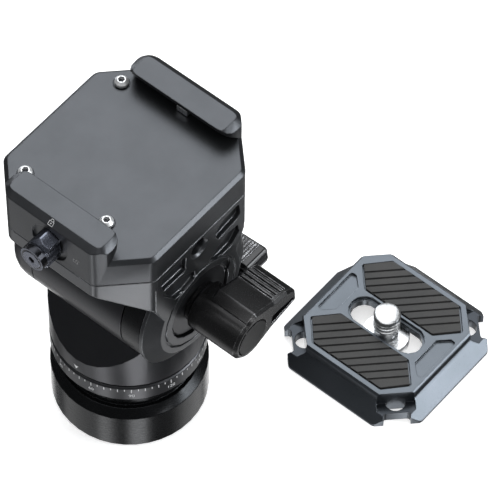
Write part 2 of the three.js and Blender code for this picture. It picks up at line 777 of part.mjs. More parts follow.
piece('spring_anchor_plate', turnedTilt(tubeProfile(
  axleRadius + gap, barrelBore - gap, anchorX0, anchorX0 + anchorThick), midFacets), 'steel');

piece('tilt_brake_washer', turnedTilt(tubeProfile(
  axleRadius + gap, collarSeat - gap, washerX0, washerX0 + washerThick), midFacets), 'brass');

piece('tilt_thrust_washer', turnedTilt(tubeProfile(
  stemRadius + stemClear, hubRecessRadius - gap - gap,
  hubRecessX + gap, tiltKnobX0 - knobNeckLong - gap + halfShare * gap),
midFacets), 'steel');

// Saddle: layer under the seam that thickens into the right cheek.
const webEndZ = saddleBottomZ - webDrop;
const saddleProfile = [[-platformHalfX - overrun, saddleTopZ], [-platformHalfX - overrun, saddleBottomZ],
  [webStartX, saddleBottomZ], [platformHalfX, webEndZ], [platformHalfX + overrun, webEndZ],
  [platformHalfX + overrun, saddleTopZ]];
const saddleReach = platformHalfY + overrun;
let saddle = prismY(saddleProfile, -saddleReach, saddleReach);
saddle = saddle.intersect(prismZ(outline, webEndZ - overrun, seatZ));
saddle = saddle.subtract(turnedTilt(rodProfile(endClear + gap, -saddleReach, cheekInner)));
const cheekOutline = [[-cheekTopHalf, saddleBottomZ], [-cheekTopHalf, cheekShoulderZ],
  [-cheekWaistHalf, cheekWaistZ], [-cheekFootHalf, tiltZ], [cheekFootHalf, tiltZ],
  [cheekWaistHalf, cheekWaistZ], [cheekTopHalf, cheekShoulderZ], [cheekTopHalf, saddleBottomZ]];
saddle = saddle.add(prismX(cheekOutline, cheekInner, platformHalfX));
saddle = saddle.add(turnedTilt([
  [0, cheekInner], [hubWideRadius, cheekInner], [hubWideRadius, cheekInner + platformBevel],
  [hubFaceRadius, platformHalfX], [0, platformHalfX]]));
saddle = saddle.subtract(turnedTilt(
  rodProfile(hubRecessRadius, hubRecessX, platformHalfX + overrun), midFacets));
saddle = saddle.subtract(turnedTilt(
  rodProfile(stemRadius + stemClear, cheekInner - overrun, platformHalfX), smallFacets));
saddle = saddle.subtract(turnedTilt(tubeProfile(
  hubRingRadius, hubRingRadius + hubRingWide, platformHalfX - hubRingDeep, platformHalfX + overrun),
midFacets));
saddle = saddle.subtract(turnedX([
  [0, platformHalfX - accessoryHoleDeep], [accessoryHoleRadius, platformHalfX - accessoryHoleDeep],
  [accessoryHoleRadius, platformHalfX - (accessoryHoleMouth - accessoryHoleRadius)],
  [accessoryHoleMouth, platformHalfX], [accessoryHoleMouth, platformHalfX + overrun],
  [0, platformHalfX + overrun]], accessoryHoleY, accessoryHoleZ));
saddle = saddle.subtract(turnedX(
  rodProfile(dimpleRadius, platformHalfX - dimpleDeep, platformHalfX + overrun), dimpleY, dimpleZ));
cheekPockets.forEach((pocket) => {
  saddle = saddle.subtract(prismX(
    rounded(pocket, pocketRound), platformHalfX - pocketDeep, platformHalfX + overrun));
});

// Clamp plate: seat with one rail at the front and one at the back.
let clamp = prismZ(outline, seamZ - overrun, seatZ, platformBevel);
clamp = clamp.subtract(block(-saddleReach, saddleReach, -saddleReach, saddleReach,
  seamZ - overrun - overrun, seamZ));
const railOutline = rounded(rectangle(
  -railHalfLength, railHalfLength, -platformHalfY, -lipHalf), railEndRound);
const railBody = rounded(rectangle(
  -railHalfLength, railHalfLength, -platformHalfY, -lipHalf + railBevelWide), railEndRound);
// The bevel is lower than it is wide, so the bevelled block is squeezed in height.
const bevelShare = railBevelHigh / railBevelWide;
const railBlock = extruded(railBody, (railHeight + seamDepth) / bevelShare, railBevelWide)
  .scale(1, 1, bevelShare).translate(0, 0, seamZ);
const railTall = solid(railBlock);
const railShell = prismZ(railOutline, seamZ + railBevelHigh, railHeight + overrun);
const frontRail = railTall.intersect(railShell).intersect(prismZ(outline, seamZ, railHeight + overrun));
clamp = clamp.add(frontRail).add(frontRail.mirror([0, 1, 0]));
// Fixed undercut of the back rail: lip, 45 degree flank and foot relief.
const undercut = [[0, seatZ], [undercutHalf, seatZ], [undercutHalf, undercutFootZ],
  [lipHalf, lipZ], [lipHalf - overrun, lipZ], [0, lipZ]];
const railReach = railHalfLength + overrun;
clamp = clamp.subtract(prismX(undercut, -railReach, railReach));
// The front rail is relieved right along and deeper where the jaw bar slides.
clamp = clamp.subtract(prismX(undercut.map(([y, z]) => [-y, z]).reverse(), -railReach, railReach));
clamp = clamp.subtract(block(-grooveHalfLength, grooveHalfLength, jawPocketY, -lipHalf, seatZ, lipZ));
clamp = clamp.subtract(block(
  -jawSlotHalf, jawSlotHalf, jawPocketY, jawSlotInnerY, seamZ - overrun, seatZ + gap));
clamp = clamp.subtract(block(-leverSpringRadius - leverSpringWire - gap,
  leverSpringRadius + leverSpringWire + gap, jawSlotInnerY - gap, leverSpringEndY,
  seamZ - overrun, leverZ + leverSpringRadius + leverSpringWire + gap));
clamp = clamp.subtract(turnedY(rodProfile(
  leverRecessRadius, frontFace - overrun, leverFloorY), 0, leverZ, midFacets));
clamp = clamp.subtract(turnedY(rodProfile(
  camShaftRadius + gap, frontFace - overrun, jawPocketY + overrun), 0, leverZ));
clamp = clamp.subtract(turnedY(rodProfile(
  camJournal + gap, leverSpringEndY - overrun, leverSpringEndY + overrun + gap), 0, leverZ));
// Trigger slot in the back rail.
const triggerY0 = lipHalf + triggerNose;
const triggerY1 = triggerY0 + triggerLong;
const triggerBackY = platformHalfY - railWall;
clamp = clamp.subtract(block(triggerX - triggerHalf - gap, triggerX + triggerHalf + gap,
  lipHalf, triggerBackY, seatZ, seatZ + gap + triggerHigh + gap));
screwPlaces.forEach(([x, y]) => {
  clamp = clamp.subtract(turnedZ(rodProfile(screwHeadRadius + gap, seatZ - screwSink, seatZ + lipZ),
    smallFacets).add(turnedZ(rodProfile(
    screwShankRadius + gap, seamZ - overrun, seatZ - screwSink + overrun), smallFacets))
    .translate([x, y, 0]));
  saddle = saddle.subtract(turnedZ(rodProfile(
    screwShankRadius + gap, saddleBottomZ + overrun, seatZ), smallFacets).translate([x, y, 0]));
});
piece('saddle_cheek', saddle, 'anodised');
piece('clamp_plate', clamp, 'anodised');

screwPlaces.forEach(([x, y], i) => {
  const under = seatZ - screwSink + gap;
  const top = under + screwHeadHigh;
  const rim = screwHeadHigh * halfShare;
  const screw = turnedZ([
    [0, under - screwShankLong], [screwShankRadius, under - screwShankLong], [screwShankRadius, under],
    [screwHeadRadius, under], [screwHeadRadius, under + rim], [screwHeadRadius - rim, top],
    [0, top]], smallFacets).subtract(turnedZ(
    rodProfile(screwSocket, top - screwSocketDeep, top + overrun), hexFacets));
  piece(`clamp_screw_${i + 1}`, screw.translate([x, y, 0]), 'steel');
});

// Jaw bar with its dovetail flank and the tail that the lever shaft passes.
const jawSection = [[jawClosedY, seatZ + gap], [jawClosedY, undercutFootZ],
  [jawClosedY + (jawTopZ - undercutFootZ), jawTopZ], [jawOuterY, jawTopZ], [jawOuterY, seatZ + gap]];
let jaw = prismX(jawSection, -jawHalfLength, jawHalfLength);
jaw = jaw.add(block(-jawTailHalf, jawTailHalf, jawOuterY, jawOuterY + jawTailThick,
  seatZ - jawTailDrop, seatZ + gap + gap));
jaw = jaw.subtract(turnedY(rodProfile(
  camShaftRadius + gap, jawOuterY - overrun, jawOuterY + jawTailThick + overrun), 0, leverZ));
piece('jaw_bar', jaw, 'steel');

// Lever: thumb piece with a ridge, teeth on its right flank and a round cap.
const leverFace = frontFace - leverWingDeep;
const leverOutline = [[-leverHubRadius, 0], [-leverHubRadius * halfShare, leverTip - leverTipRound],
  [0, leverTip], [leverTipRound, leverTip - leverTipRound * halfShare]];
for (let i = 0; i < leverToothCount; i += 1) {
  const step = (leverTip + leverHubRadius - leverTipRound) / leverToothCount;
  const high = leverTip - leverTipRound - i * step;
  const side = leverHubRadius - leverToothDeep * halfShare;
  leverOutline.push([side, high], [side, high - step * halfShare],
    [side - leverToothDeep, high - step * halfShare], [side - leverToothDeep, high - step]);
}
leverOutline.push([0, -leverHubRadius]);
leverOutline.push([-leverHubRadius * (halfShare + halfShare * halfShare), -leverHubRadius * halfShare]);
let lever = prismY(lifted(leverOutline, leverZ).reverse(), leverFace, leverFloorY - gap);
const leverTurn = turnedY([
  [0, leverFloorY - gap], [leverRecessRadius - gap, leverFloorY - gap],
  [leverRecessRadius - gap, leverFace + leverSlope], [leverRecessRadius - leverSlope, leverFace],
  [0, leverFace]], 0, leverZ, midFacets);
lever = lever.intersect(leverTurn);
const leverHubY = frontFace - leverHubDeep;
lever = lever.add(turnedY(rodProfile(leverHubRadius, leverHubY, leverFloorY - gap), 0, leverZ, midFacets));
lever = lever.subtract(turnedY(rodProfile(
  leverCapRadius + gap * halfShare, leverHubY - overrun, leverHubY + leverCapThick), 0, leverZ, midFacets));
lever = lever.subtract(turnedY(rodProfile(
  camShaftRadius + gap, leverHubY, frontFace + overrun), 0, leverZ));
piece('clamp_lever', lever, 'knob');

const capFace = leverHubY - leverCapProud;
piece('lever_cap', turnedY(rodProfile(
  leverCapRadius, capFace, leverHubY + leverCapThick - gap), 0, leverZ, midFacets)
  .subtract(turnedY(rodProfile(leverSocket, capFace - overrun, capFace + leverCapThick * halfShare),
    0, leverZ, hexFacets)), 'dark');

piece('cam_shaft', turnedY([
  [0, leverHubY + leverCapThick + gap], [camShaftRadius, leverHubY + leverCapThick + gap],
  [camShaftRadius, camDiscOuterY], [camDiscRadius, camDiscOuterY], [camDiscRadius, camDiscInnerY],
  [camJournal, camDiscInnerY], [camJournal, leverSpringEndY + overrun],
  [0, leverSpringEndY + overrun]], 0, leverZ), 'steel');

const leverSpring = coiled(
  leverSpringRadius, leverSpringWire, leverSpringLong - gap - gap, leverSpringTurns, fineCoilSteps);
piece('lever_spring', solid(
  leverSpring.rotateX(-quarterTurn).translate(0, jawSlotInnerY + gap, leverZ)), 'steel');

// Trigger pin with a nose towards the seat, and its spring behind it.
const triggerTop = seatZ + gap + triggerHigh;
let trigger = block(
  triggerX - triggerHalf, triggerX + triggerHalf, triggerY0, triggerY1, seatZ + gap, triggerTop);
const triggerMid = (seatZ + gap + triggerTop) * halfShare;
trigger = trigger.add(turnedY(rodProfile(
  triggerPegRadius, triggerY1 - gap, triggerBackY - triggerTravel - gap),
triggerX, triggerMid, wireFacets));
piece('release_trigger', trigger, 'steel');

const triggerSpring = coiled(triggerSpringRadius, triggerSpringWire,
  triggerBackY - triggerY1 - gap - gap, triggerSpringTurns, fineCoilSteps);
piece('trigger_spring', solid(
  triggerSpring.rotateX(-quarterTurn).translate(triggerX, triggerY1 + gap, triggerMid)), 'steel');

// Quick-release plate.
const flankTopZ = footHeight + plateLean; // 45 degree flanks, as on the rails
const plateFlank = [[-footHalf, 0], [footHalf, 0], [footHalf, footHeight],
  [plateTopHalf, flankTopZ], [plateTopHalf, plateHigh - plateTopBevel],
  [plateTopHalf - plateTopBevel, plateHigh], [plateTopBevel - plateTopHalf, plateHigh],
  [-plateTopHalf, plateHigh - plateTopBevel], [-plateTopHalf, flankTopZ], [-footHalf, footHeight]];
const plateReach = footHalf + overrun;
let plate = prismX(plateFlank, -plateReach, plateReach);
plate = plate.intersect(prismY(plateFlank, -plateReach, plateReach));
plate = plate.intersect(prismZ(rounded(octagon(footHalf, footHalf, plateFoot - earCut), earRound),
  -overrun, plateHigh + overrun));
// Each corner has an open pocket over a thin ear, with a half-round hole and an outer notch.
const pocketStart = (plateTopHalf + plateTopHalf - plateTopCut) * Math.SQRT1_2;
const pocketHalf = plateTopHalf * Math.SQRT2 - pocketStart;
const earEdge = (plateFoot - earCut) * Math.SQRT1_2;
const earPocket = prismZ(rounded(rectangle(
  pocketStart, earEdge + plateReach, -pocketHalf, pocketHalf), earPocketRound),
earHigh, plateHigh + overrun);
const earHole = prismZ(circle(earHoleRadius, pocketStart, 0, midFacets), -overrun, earHigh + overrun)
  .intersect(block(pocketStart, earEdge, -plateReach, plateReach, -overrun, plateHigh));
const earNotch = prismZ(rounded(rectangle(
  earEdge - earNotchDeep, earEdge + earNotchDeep, -earNotchLong * halfShare, earNotchLong * halfShare),
earPocketRound), -overrun, plateHigh);
const plainCut = block(pocketStart + plainCornerLip, earEdge + plateReach,
  -plateReach, plateReach, -overrun, plateHigh + overrun);
for (let quarter = 0; quarter < 4; quarter += 1) {
  const turned = [0, 0, eighthDegrees + quarterDegrees * quarter];
  const cut = quarter === plainCorner ? plainCut : earPocket.add(earHole).add(earNotch);
  plate = plate.subtract(cut.rotate(turned));
}
const underHalf = footHalf - underInset;
plate = plate.subtract(prismZ(
  rounded(octagon(underHalf, underHalf, underHalf + underHalf - underCut), earRound), -overrun, underHigh));
plate = plate.subtract(prismZ(stadium(slotRadius, slotHalfTravel), -overrun, plateHigh + overrun));
plate = plate.subtract(prismZ(
  stadium(slotLedgeRadius, slotHalfTravel), plateHigh - slotLedgeDeep, plateHigh + overrun));
plate = plate.subtract(prismZ(stadium(slotUnderRadius, slotHalfTravel), -overrun, slotUnderHigh));
const padHole = rounded(padOutline, pocketRound);
[1, -1].forEach((side) => {
  const flip = (points) => (side > 0 ? points : points.map(([u, v]) => [u, -v]).reverse());
  plate = plate.subtract(prismZ(flip(padHole), plateHigh - padSink, plateHigh + overrun));
  const inset = padHole.map(([u, v]) => [u - Math.sign(u) * padClear - Math.sign(u) * padClear,
    v + (v > padOutline[0][1] ? -padClear : padClear) * (1 + halfShare)]);
  let pad = prismZ(flip(inset), plateHigh - padSink + gap, plateHigh + padProud);
  const centre = (padOutline[1][1] + padOutline[4][1]) * halfShare * side;
  for (let i = 0; i < padGrooveCount; i += 1) {
    const across = (i - (padGrooveCount - 1) * halfShare) * padRibPitch;
    pad = pad.subtract(prismZ(rectangle(-plateReach, plateReach, across - padGroove * halfShare,
      across + padGroove * halfShare), plateHigh + padProud - padGrooveDeep, plateHigh + overrun)
      .rotate([0, 0, eighthDegrees]).translate([0, centre, 0]));
  }
  pad = pad.translate([plateX, plateY, baseBottomZ]);
  piece(side > 0 ? 'pad_back' : 'pad_front', pad, 'rubber');
  const pocket = side > 0 ? endPocket : mirrored(endPocket);
  plate = plate.subtract(
    prismZ(rounded(pocket, pocketRound), plateHigh - endPocketDeep, plateHigh + overrun));
});
piece('plate_body', plate.translate([plateX, plateY, baseBottomZ]), 'plate');

const headTop = headLift + headHigh;
const studTop = plateHigh + studProud;
const screwBody = turnedZ([
  [0, headLift], [headRadius, headLift], [headRadius, headTop], [studNeck, headTop],
  [studNeck, plateHigh - gap], [studRadius, plateHigh - gap + (studRadius - studNeck)],
  [studRadius, studTop - studChamfer], [studRadius - studChamfer, studTop], [0, studTop]], midFacets)
  .subtract(block(-headRadius - overrun, headRadius + overrun, -coinSlotWide * halfShare,
    coinSlotWide * halfShare, headLift - overrun, headLift + coinSlotDeep));
piece('camera_screw', screwBody.translate([plateX, plateY, baseBottomZ]), 'steel');

piece('retaining_washer', turnedZ(tubeProfile(
  studNeck + gap, headRadius, headTop + gap * halfShare,
  headTop + gap * halfShare + retainerThick), midFacets)
  .translate([plateX, plateY, baseBottomZ]), 'steel');

export default head;
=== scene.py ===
import json
import math

import bmesh
import bpy
from mathutils import Matrix, Vector


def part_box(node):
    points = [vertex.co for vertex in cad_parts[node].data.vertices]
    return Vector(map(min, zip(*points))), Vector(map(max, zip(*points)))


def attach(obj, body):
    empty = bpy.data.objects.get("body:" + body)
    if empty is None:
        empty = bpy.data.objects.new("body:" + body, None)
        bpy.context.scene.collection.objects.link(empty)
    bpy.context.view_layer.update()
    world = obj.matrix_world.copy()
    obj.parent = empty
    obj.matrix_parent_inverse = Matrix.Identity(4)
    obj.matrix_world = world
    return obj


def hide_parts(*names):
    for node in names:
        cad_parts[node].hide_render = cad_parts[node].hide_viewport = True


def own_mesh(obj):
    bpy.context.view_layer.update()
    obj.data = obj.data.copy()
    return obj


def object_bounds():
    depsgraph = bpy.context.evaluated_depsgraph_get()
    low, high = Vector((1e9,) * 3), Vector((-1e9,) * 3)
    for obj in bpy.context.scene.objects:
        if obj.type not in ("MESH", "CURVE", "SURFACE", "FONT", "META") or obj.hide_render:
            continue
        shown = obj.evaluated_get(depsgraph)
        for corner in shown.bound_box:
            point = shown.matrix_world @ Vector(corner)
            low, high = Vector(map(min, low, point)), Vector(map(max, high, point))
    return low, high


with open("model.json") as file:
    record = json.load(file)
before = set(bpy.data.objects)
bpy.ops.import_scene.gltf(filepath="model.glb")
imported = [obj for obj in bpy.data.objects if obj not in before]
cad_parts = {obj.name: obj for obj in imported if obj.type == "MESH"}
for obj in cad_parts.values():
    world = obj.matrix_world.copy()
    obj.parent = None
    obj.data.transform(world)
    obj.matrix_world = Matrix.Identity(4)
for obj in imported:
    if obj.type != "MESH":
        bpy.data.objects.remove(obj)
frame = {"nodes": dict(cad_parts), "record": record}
cad_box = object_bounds()
record = frame["record"]
body_of_node = {node: body for body, nodes in record["behaviour"]["bodies"].items() for node in nodes}
MM = 0.001

# Camera, fitted to the straight edges and the outlines in the photograph.

CAMERA_PLACE = (0.34675, -0.38610, 0.71590)
CAMERA_RIGHT = (0.77002, 0.63796, 0.00886)
CAMERA_UP = (-0.52827, 0.62970, 0.56957)
CAMERA_BACK = (0.35778, -0.44326, 0.82190)
LENS_MM = 295.8
SENSOR_MM = 36.0
NEAREST_SEEN = 0.01
FARTHEST_SEEN = 20.0


def make_camera():
    data = bpy.data.cameras.new("camera")
    camera = bpy.data.objects.new("camera", data)
    bpy.context.scene.collection.objects.link(camera)
    data.sensor_width = SENSOR_MM
    data.lens = LENS_MM
    data.clip_start = NEAREST_SEEN
    data.clip_end = FARTHEST_SEEN
    turn = Matrix((CAMERA_RIGHT, CAMERA_UP, CAMERA_BACK)).transposed()
    camera.matrix_world = Matrix.Translation(CAMERA_PLACE) @ turn.to_4x4()
    bpy.context.scene.camera = camera


make_camera()

# Finishes. The scales of noise are per metre, and a span is the part of a value that is used.

NOISE_ROUGHNESS = 0.6
CLOUD_SCALE = 90.0
CLOUD_DETAIL = 5.0
CLOUD_SPAN = (0.35, 0.65)
PATCH_SCALE = 420.0
PATCH_DETAIL = 6.0
PATCH_SPAN = (0.42, 0.68)
PATCH_RANGE = (0.15, 1.0)
GRAIN_DETAIL = 3.0
GRAIN_SPAN = (0.3, 0.7)
GRAIN_STRENGTH = 0.35
EDGE_SAMPLES = 6
EDGE_SPAN = (0.90, 0.995)
SATIN_GRAIN = 5200.0
STEEL_GRAIN = 1800.0
PAINT_GRAIN = 3000.0
TURNED_GRAIN = 900.0
TURNED_DEPTH = 0.008 * MM
TURNED_STRETCH = (1.0, 1.0, 14.0)
MIX_FIRST = 6
MIX_SECOND = 7
MIX_RESULT = 2


class Finish:
    """One node material for a finish. Its helpers take output sockets and give one back."""

    def __init__(self, name):
        self.material = bpy.data.materials.new(name)
        self.material.use_nodes = True
        self.tree = self.material.node_tree
        self.tree.nodes.clear()
        output = self.add("ShaderNodeOutputMaterial")
        self.shader = self.add("ShaderNodeBsdfPrincipled")
        self.feed(self.shader.outputs["BSDF"], output, "Surface")
        self.place = self.add("ShaderNodeTexCoord").outputs["Object"]

    def add(self, kind, **values):
        """A new node, with each value in its setting of that name, or else in its input."""
        node = self.tree.nodes.new(kind)
        for key, value in values.items():
            if hasattr(node, key):
                setattr(node, key, value)
            else:
                node.inputs[key].default_value = value
        return node

    def feed(self, source, node, socket):
        """Sets an input of a node to a number or a colour, or joins an output socket to it."""
        if isinstance(source, float):
            node.inputs[socket].default_value = source
        elif isinstance(source, tuple):
            node.inputs[socket].default_value = (*source, 1.0)
        else:
            self.tree.links.new(source, node.inputs[socket])

    def noise(self, scale, detail, stretch=None):
        """Noise that is fixed to the solid, finer along an axis that stretch makes more of."""
        node = self.add("ShaderNodeTexNoise", Scale=scale, Detail=detail, Roughness=NOISE_ROUGHNESS)
        place = self.place
        if stretch is not None:
            mapping = self.add("ShaderNodeMapping", Scale=stretch)
            self.feed(place, mapping, "Vector")
            place = mapping.outputs["Vector"]
        self.feed(place, node, "Vector")
        return node.outputs["Fac"]

    def remap(self, source, span, result=(0.0, 1.0)):
        """Spreads the span of a value over the result."""
        node = self.add("ShaderNodeMapRange")
        self.feed(source, node, "Value")
        for name, value in zip(("From Min", "From Max", "To Min", "To Max"), (*span, *result)):
            self.feed(value, node, name)
        return node.outputs["Result"]

    def times(self, first, second):
        node = self.add("ShaderNodeMath", operation="MULTIPLY")
        self.feed(first, node, 0)
        self.feed(second, node, 1)
        return node.outputs["Value"]

    def mix(self, factor, first, second):
        node = self.add("ShaderNodeMix", data_type="RGBA")
        self.feed(factor, node, "Factor")
        self.feed(first, node, MIX_FIRST)
        self.feed(second, node, MIX_SECOND)
        return node.outputs[MIX_RESULT]

    def along(self, vector, axis):
        """The part of a vector along one axis."""
        parts = self.add("ShaderNodeSeparateXYZ")
        self.feed(vector, parts, 0)
        return parts.outputs[axis]

    def edges(self, rounded):
        """High on the edges of the solid: where the rounded normal turns away from the real one."""
        flat = self.add("ShaderNodeNewGeometry").outputs["Normal"]
        facing = self.add("ShaderNodeVectorMath", operation="DOT_PRODUCT")
        self.feed(rounded, facing, 0)
        self.feed(flat, facing, 1)
        return self.remap(facing.outputs["Value"], EDGE_SPAN, (1.0, 0.0))


def surface(name, colour, other, wear_and_glint_colour, metallic, rough, spread, grain, depth, wear_and_glint=0.5,
            stretch=None, rounding=0.22 * MM):
    """A finish of two close colours, with rounded edges made lighter by rubbing and by painted
    highlight, and grain in gloss and relief.
    """
    finish = Finish(name)
    rounded = finish.add("ShaderNodeBevel", samples=EDGE_SAMPLES, Radius=rounding).outputs["Normal"]
    cloud = finish.remap(finish.noise(CLOUD_SCALE, CLOUD_DETAIL), CLOUD_SPAN)
    tone = finish.mix(cloud, colour, other)
    if wear_and_glint > 0:
        # Lighter edges in patches: partly rubbed metal, partly a painted highlight along the edges.
        patches = finish.remap(finish.noise(PATCH_SCALE, PATCH_DETAIL), PATCH_SPAN, PATCH_RANGE)
        amount = finish.times(finish.times(finish.edges(rounded), patches), wear_and_glint)
        tone = finish.mix(amount, tone, wear_and_glint_colour)
    finish.feed(tone, finish.shader, "Base Color")
    grains = finish.noise(grain, GRAIN_DETAIL, stretch)
    roughness = finish.remap(grains, GRAIN_SPAN, (rough - spread, rough + spread))
    finish.feed(roughness, finish.shader, "Roughness")
    bump = finish.add("ShaderNodeBump", Strength=GRAIN_STRENGTH, Distance=depth)
    finish.feed(grains, bump, "Height")
    finish.feed(rounded, bump, "Normal")
    finish.feed(bump.outputs["Normal"], finish.shader, "Normal")
    finish.feed(metallic, finish.shader, "Metallic")
    return finish


FINISHES = {
    "anodised": surface(
        "graphite_anodised_aluminium", (0.058, 0.061, 0.066), (0.066, 0.069, 0.075),
        wear_and_glint_colour=(0.22, 0.23, 0.25), metallic=0.9, rough=0.36, spread=0.04,
        grain=SATIN_GRAIN, depth=0.02 * MM, wear_and_glint=0.3, rounding=0.30 * MM),
    # Painted light: the cheek is a lighter copy of the body's anodised finish, standing in for light on
    # a shaded part, and its edge colour is raised for painted glints.
    "cheek": surface(
        "cheek_anodised_painted_light", (0.080, 0.083, 0.089), (0.090, 0.093, 0.099),
        wear_and_glint_colour=(0.55, 0.57, 0.60), metallic=0.9, rough=0.32, spread=0.04,
        grain=SATIN_GRAIN, depth=0.02 * MM, wear_and_glint=0.7, rounding=0.34 * MM),
    "black": surface(
        "black_anodised_aluminium", (0.041, 0.042, 0.047), (0.046, 0.047, 0.052),
        wear_and_glint_colour=(0.22, 0.23, 0.24), metallic=0.85, rough=0.34, spread=0.04,
        grain=SATIN_GRAIN, depth=0.015 * MM),
    "turned": surface(
        "turned_black_aluminium", (0.018, 0.019, 0.021), (0.023, 0.024, 0.026),
        wear_and_glint_colour=(0.24, 0.25, 0.27), metallic=0.85, rough=0.30, spread=0.05,
        grain=TURNED_GRAIN, depth=TURNED_DEPTH, stretch=TURNED_STRETCH),
    "base": surface(
        "turned_base_aluminium", (0.016, 0.017, 0.018), (0.020, 0.021, 0.023),
        wear_and_glint_colour=(0.22, 0.23, 0.25), metallic=0.9, rough=0.27, spread=0.05,
        grain=TURNED_GRAIN, depth=TURNED_DEPTH, stretch=TURNED_STRETCH),
    "ring": surface(
        "turned_scale_ring", (0.050, 0.051, 0.055), (0.060, 0.061, 0.066),
        wear_and_glint_colour=(0.26, 0.27, 0.29), metallic=0.85, rough=0.34, spread=0.05,
        grain=TURNED_GRAIN, depth=TURNED_DEPTH, stretch=TURNED_STRETCH),
    # The knob's edge colour is raised high, so its edges and rib crests carry painted highlights.
    "knob": surface(
        "knob_satin_black", (0.036, 0.036, 0.037), (0.041, 0.041, 0.042),
        wear_and_glint_colour=(0.62, 0.62, 0.64), metallic=0.85, rough=0.25, spread=0.03,
        grain=SATIN_GRAIN, depth=0.006 * MM, wear_and_glint=1.0, rounding=0.26 * MM),
    "lever": surface(
        "lever_satin_graphite", (0.13, 0.14, 0.175), (0.15, 0.162, 0.20),
        wear_and_glint_colour=(0.55, 0.57, 0.62), metallic=0.9, rough=0.25, spread=0.03,
        grain=SATIN_GRAIN, depth=0.004 * MM),
    "inlay": surface(
        "knob_end_disc", (0.015, 0.015, 0.016), (0.018, 0.018, 0.019),
        wear_and_glint_colour=(0.55, 0.55, 0.56), metallic=0.9, rough=0.38, spread=0.04,
        grain=4200.0, depth=0.01 * MM, wear_and_glint=1.0),
    "plate": surface(
        "plate_blue_grey_anodised", (0.078, 0.088, 0.100), (0.088, 0.098, 0.112),
        wear_and_glint_colour=(0.40, 0.43, 0.47), metallic=0.9, rough=0.31, spread=0.04,
        grain=SATIN_GRAIN, depth=0.02 * MM),
    "rubber": surface(
        "pad_rubber", (0.040, 0.040, 0.040), (0.052, 0.051, 0.050),
        wear_and_glint_colour=(0.12, 0.12, 0.12), metallic=0.0, rough=0.66, spread=0.08,
        grain=3200.0, depth=0.04 * MM, wear_and_glint=0.3),
    "steel": surface(
        "bright_steel", (0.66, 0.67, 0.68), (0.76, 0.77, 0.78),
        wear_and_glint_colour=(0.9, 0.9, 0.9), metallic=1.0, rough=0.30, spread=0.05,
        grain=STEEL_GRAIN, depth=0.006 * MM, wear_and_glint=0.3, rounding=0.06 * MM),
    "screw": surface(
        "satin_screw_steel", (0.86, 0.87, 0.88), (0.90, 0.91, 0.92),
        wear_and_glint_colour=(0.95, 0.95, 0.95), metallic=0.75, rough=0.42, spread=0.05,
        grain=STEEL_GRAIN, depth=0.006 * MM, wear_and_glint=0.3, rounding=0.10 * MM),
    "brass": surface(
        "bearing_brass", (0.58, 0.40, 0.17), (0.66, 0.47, 0.22),
        wear_and_glint_colour=(0.8, 0.62, 0.35), metallic=1.0, rough=0.30, spread=0.06,
        grain=STEEL_GRAIN, depth=0.01 * MM, wear_and_glint=0.3),
    "polymer": surface(
        "white_polymer", (0.72, 0.71, 0.67), (0.78, 0.77, 0.73),
        wear_and_glint_colour=(0.8, 0.8, 0.78), metallic=0.0, rough=0.48, spread=0.06,
        grain=1500.0, depth=0.01 * MM, wear_and_glint=0.1),
    "paint": surface(
        "white_marking_paint", (0.62, 0.63, 0.64), (0.74, 0.74, 0.75),
        wear_and_glint_colour=(0.5, 0.5, 0.5), metallic=0.0, rough=0.55, spread=0.08,
        grain=PAINT_GRAIN, depth=0.004 * MM, wear_and_glint=0.0),
    "faint_paint": surface(
        "grey_marking_paint", (0.20, 0.20, 0.205), (0.26, 0.26, 0.265),
        wear_and_glint_colour=(0.2, 0.2, 0.2), metallic=0.0, rough=0.55, spread=0.08,
        grain=PAINT_GRAIN, depth=0.004 * MM, wear_and_glint=0.0),
}

# Bands of painted shade on the lever's hub, the plate's ear tops and the screws' socket floors.
BAND_FADE = 0.1 * MM
LEVEL_SPAN = (0.8, 0.95)
LEVER_HUB_SHADE = (-30.22 * MM, -28.75 * MM)
EAR_TOP_SHADE = (-83.3 * MM, -82.3 * MM)
SOCKET_FLOOR_SHADE = (0.55 * MM, 0.75 * MM)


def darken(name, axis, band, colour, only_level=False):
    """Paints shade as a band of the finish along an axis in another colour, if wanted only on its level
    faces.
    """
    finish = FINISHES[name]
    low, high = band
    tone = finish.shader.inputs["Base Color"].links[0].from_socket
    spot = finish.along(finish.place, axis)
    amount = finish.times(finish.remap(spot, (low - BAND_FADE, low)),
                          finish.remap(spot, (high + BAND_FADE, high)))
    if only_level:
        facing = finish.add("ShaderNodeNewGeometry").outputs["True Normal"]
        level = finish.remap(finish.along(facing, "Z"), LEVEL_SPAN)
        amount = finish.times(amount, level)
    finish.feed(finish.mix(amount, tone, colour), finish.shader, "Base Color")


# Painted shade: the lever's hub between its wing and its cap is made near black.
darken("lever", "Y", LEVER_HUB_SHADE, (0.022, 0.023, 0.027))
# Painted shade: the level tops of the plate's ears, low beside its flanks, are made darker.
darken("plate", "Z", EAR_TOP_SHADE, (0.034, 0.038, 0.044), only_level=True)
# Painted shade: the level floors of the screws' hex sockets are made dark.
darken("screw", "Z", SOCKET_FLOOR_SHADE, (0.05, 0.05, 0.055), only_level=True)

# Pieces from the solids.

SHOWN_AS = {
    "base_shell": "base", "scale_ring": "ring", "barrel_collar_right": "turned",
    "pan_body": "black", "barrel_cap_left": "black", "tilt_thrust_washer": "black",
    # The cheek takes the lighter cheek finish: painted light.
    "saddle_cheek": "cheek",
    "clamp_lever": "lever", "lever_cap": "lever",
    "clamp_screw_1": "screw", "clamp_screw_2": "screw", "clamp_screw_3": "screw",
}
LOOSE_MERGE = 0.002 * MM
FINE_MERGE = 0.0001 * MM
FLAT_ANGLE = math.radians(0.4)
CASING_ANGLE = math.radians(32.0)
PIECE_ANGLE = math.radians(30.0)
THREAD_ANGLE = math.radians(50.0)
EASED_STEPS = 2


